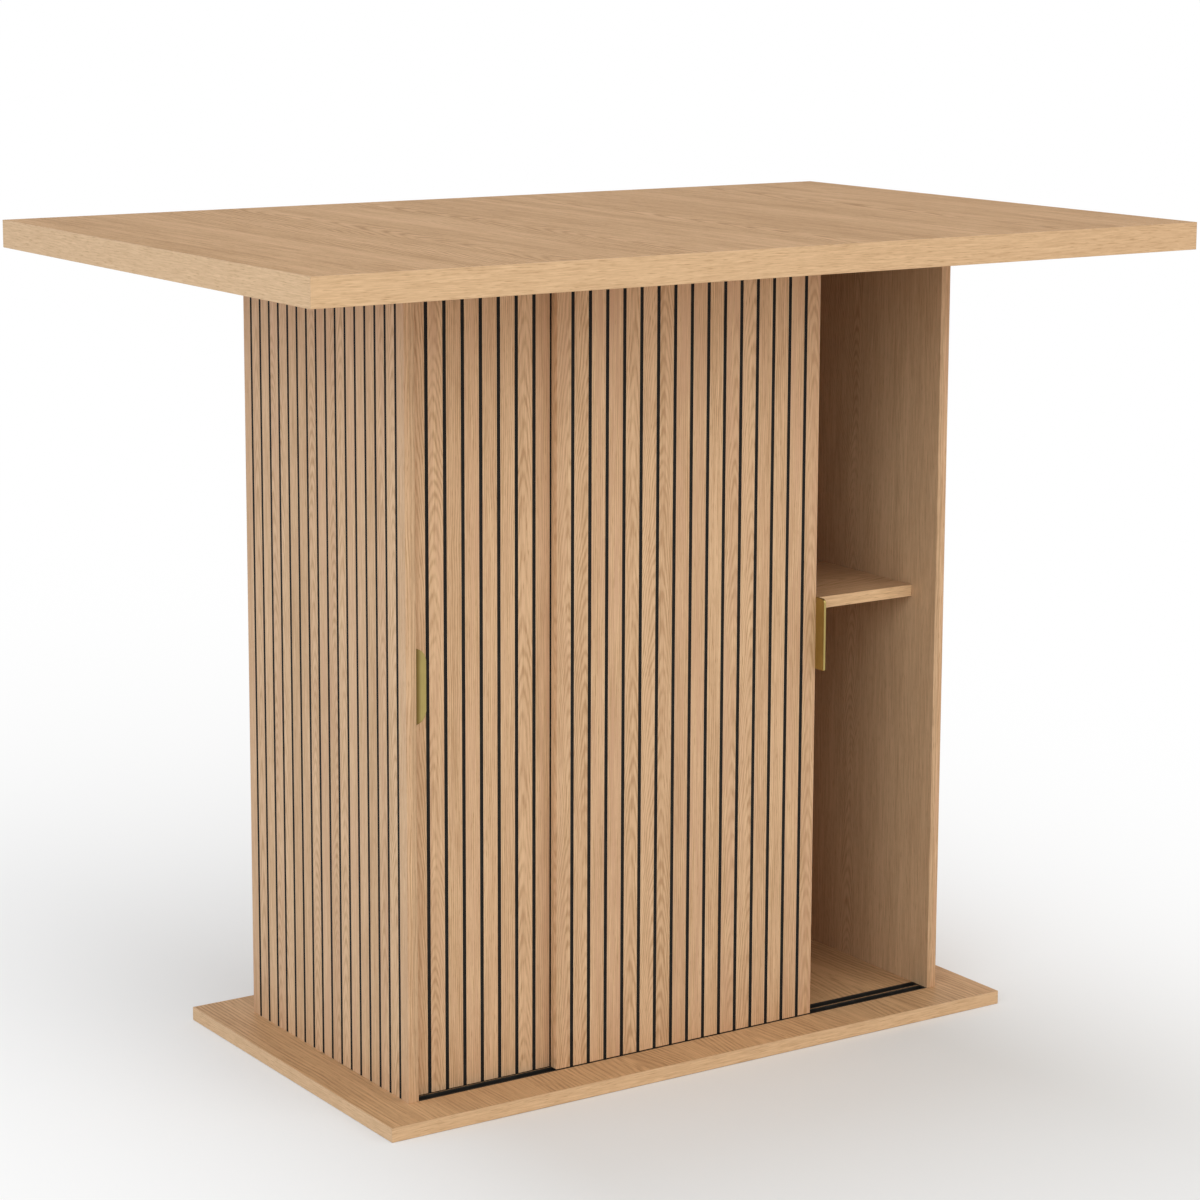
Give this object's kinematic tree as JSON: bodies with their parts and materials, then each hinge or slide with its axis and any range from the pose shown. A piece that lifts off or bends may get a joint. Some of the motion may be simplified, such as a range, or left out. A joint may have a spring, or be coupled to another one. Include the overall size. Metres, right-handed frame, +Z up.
{
  "type": "kitchen island",
  "caption": "Free-standing kitchen island: overhanging oak-look worktop on a slatted cabinet with sliding doors in flush tracks, inner shelves and a wide base plate.",
  "frame": {"origin": "on the floor under the middle of the island, which is the middle of the base plate", "axes": "+X to the right along the front, -Y out of the front that the doors close, +Z up"},
  "size_m": [1.1, 0.7, 0.9],
  "materials": {
    "oak_board": "satin oak-look foil, grain from front to back",
    "oak_edge": "satin oak-look edge band, grain along the edge",
    "oak_slats": "satin oak-look slats, grain upright",
    "oak_inside": "satin oak-look foil",
    "black_strip": "matt black",
    "black_track": "matt black",
    "brass": "brushed, lacquered",
    "zinc": "zinc plated",
    "beech": "plain turned wood",
    "felt": "brown felt"
  },
  "bodies": {
    "cabinet": {"worktop": "oak_board", "base_plate": "oak_board", "worktop_long_bands": "oak_edge", "worktop_short_bands": "oak_edge", "base_plate_long_bands": "oak_edge", "base_plate_short_bands": "oak_edge", "interior_front_bands": "oak_edge", "left_side_panel": "oak_slats", "right_side_panel": "oak_slats", "back_panel": "oak_slats", "divider": "oak_inside", "left_shelf": "oak_inside", "right_shelf": "oak_inside", "left_side_panel_inlays": "black_strip", "right_side_panel_inlays": "black_strip", "back_panel_inlays": "black_strip", "bottom_front_track": "black_track", "bottom_rear_track": "black_track", "top_front_track": "black_track", "top_rear_track": "black_track", "base_screws": "zinc", "worktop_brackets": "zinc", "bracket_screws": "zinc", "shelf_supports": "zinc", "worktop_dowels": "beech", "panel_dowels": "beech", "door_bumpers": "felt"},
    "left_door": {"left_door": "oak_slats", "left_door_inlays": "black_strip", "left_door_gliders": "black_track", "left_door_guides": "black_track", "left_handle": "brass", "left_handle_screws": "brass"},
    "right_door": {"right_door": "oak_slats", "right_door_inlays": "black_strip", "right_door_gliders": "black_track", "right_door_guides": "black_track", "right_handle": "brass", "right_handle_screws": "brass"}
  },
  "joints": [
    {"name": "left_door_slide", "type": "slide", "parent": "cabinet", "child": "left_door", "axis": [1, 0, 0], "range_m": [0, 0.332]},
    {"name": "right_door_slide", "type": "slide", "parent": "cabinet", "child": "right_door", "axis": [1, 0, 0], "range_m": [-0.168, 0.164]}
  ]
}
